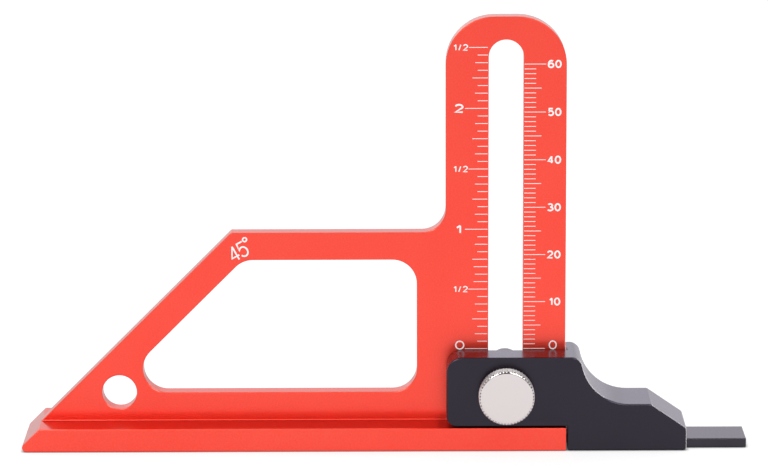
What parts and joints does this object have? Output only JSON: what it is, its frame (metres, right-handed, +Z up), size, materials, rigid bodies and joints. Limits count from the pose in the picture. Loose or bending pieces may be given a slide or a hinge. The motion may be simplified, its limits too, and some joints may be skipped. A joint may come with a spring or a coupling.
{
  "type": "saw blade height gauge",
  "caption": "T-section gauge with a mitred end, a window and a slotted scale tower; a clamped slider with a flat tongue reads the height of a saw blade above the table.",
  "frame": {"origin": "bottom centre of the bounding box at rest, on the plane the base stands on", "axes": "+X from the mitred end towards the measuring tongue, -Y out of the front that carries the scales and the knob, +Z up the tower"},
  "size_m": [0.1504, 0.0218, 0.09],
  "materials": {
    "red_anodised": "fine matte, red anodised",
    "black_anodised": "satin, black anodised",
    "dark_steel": "satin, blackened",
    "plated_steel": "bright plated, turned"
  },
  "bodies": {
    "frame": {"frame": "red_anodised"},
    "slider": {"slider": "black_anodised", "measuring_tongue": "dark_steel"},
    "clamp_knob": {"thumb_knob": "plated_steel", "clamp_stud": "plated_steel"},
    "clamp_nut": {"clamp_nut": "dark_steel"}
  },
  "joints": [
    {"name": "slider_travel", "type": "slide", "parent": "frame", "child": "slider", "axis": [0, 0, 1], "range_m": [0, 0.0655]},
    {"name": "nut_release", "type": "slide", "parent": "slider", "child": "clamp_nut", "axis": [0, 1, 0], "range_m": [0, 0.0007]},
    {"name": "knob_turn", "type": "hinge", "parent": "slider", "child": "clamp_knob", "pos_m": [0.02528, -0.0076, 0.0121], "axis": [0, -1, 0], "range_deg": [0, 360]}
  ],
  "couplings": [
    {"joint": "knob_turn", "follows": "nut_release", "rad_per_m": 8975.9}
  ]
}
